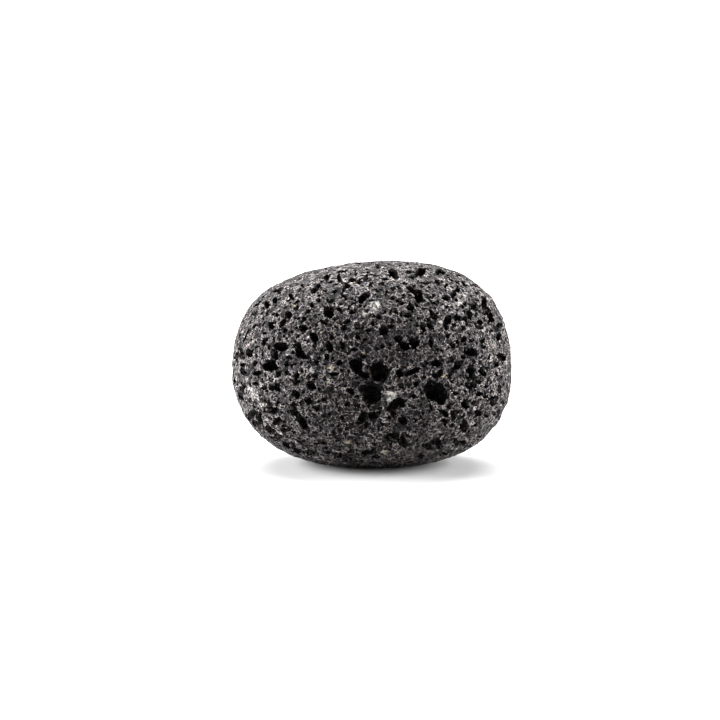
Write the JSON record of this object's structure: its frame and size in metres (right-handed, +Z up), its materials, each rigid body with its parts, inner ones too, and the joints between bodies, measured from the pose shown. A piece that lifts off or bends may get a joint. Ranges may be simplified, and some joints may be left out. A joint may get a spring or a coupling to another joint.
{
  "type": "lava rock",
  "caption": "Tumbled lava stone: a rounded, slightly blocky pebble of dark grey vesicular basalt with open gas bubbles all over, resting on a small worn flat.",
  "frame": {"origin": "middle of the stone's box, on the surface that it lies on", "axes": "+X along the stone's length, +Y away from its front, +Z up"},
  "size_m": [0.06, 0.05, 0.0435],
  "materials": {
    "basalt": "matte"
  },
  "bodies": {
    "root": {"lava_stone": "basalt"}
  },
  "joints": []
}
